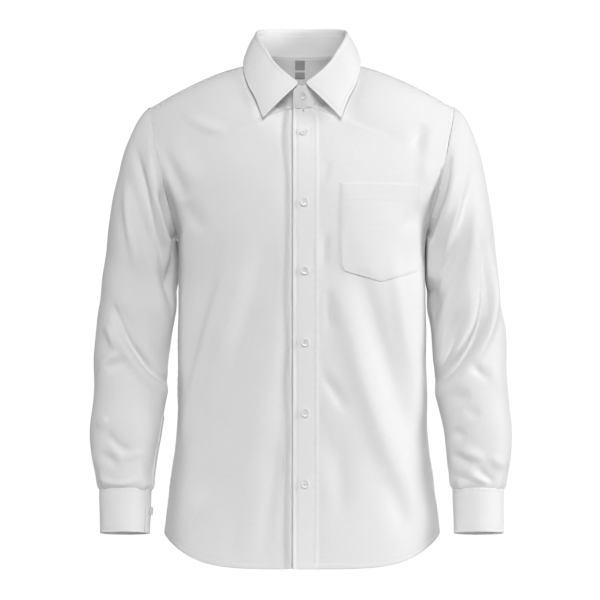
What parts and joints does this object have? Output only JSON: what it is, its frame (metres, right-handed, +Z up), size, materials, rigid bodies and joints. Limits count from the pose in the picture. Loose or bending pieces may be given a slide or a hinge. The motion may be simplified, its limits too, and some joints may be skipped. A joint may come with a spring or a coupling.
{
  "type": "long sleeve dress shirt",
  "caption": "White long sleeve dress shirt, buttoned up and filled out as worn, with a pointed collar, a front placket, a chest pocket, buttoned cuffs and a curved shirttail hem.",
  "frame": {"origin": "the middle of the neck, level with the highest points of the shoulder seams, where the wearer's neck and shoulders hold the shirt", "axes": "+X to the wearer's left, -Y to the front, +Z up"},
  "size_m": [0.6272, 0.2454, 0.8265],
  "materials": {
    "cotton": "white plain-weave cotton shirting, soft and matt",
    "button": "pearl resin, slightly glossy",
    "label": "grey satin label tape, bare"
  },
  "bodies": {
    "root": {"front_left": "cotton", "front_right": "cotton", "back": "cotton", "yoke": "cotton", "sleeve_left": "cotton", "sleeve_right": "cotton", "cuff_left": "cotton", "cuff_right": "cotton", "collar_stand": "cotton", "collar_leaf": "cotton", "placket": "cotton", "pocket": "cotton", "neck_label": "label", "sleeve_placket_left": "cotton", "sleeve_placket_right": "cotton", "button_1": "button", "button_2": "button", "button_3": "button", "button_4": "button", "button_5": "button", "button_6": "button", "button_collar": "button", "cuff_button_left": "button", "cuff_button_right": "button"}
  },
  "joints": []
}
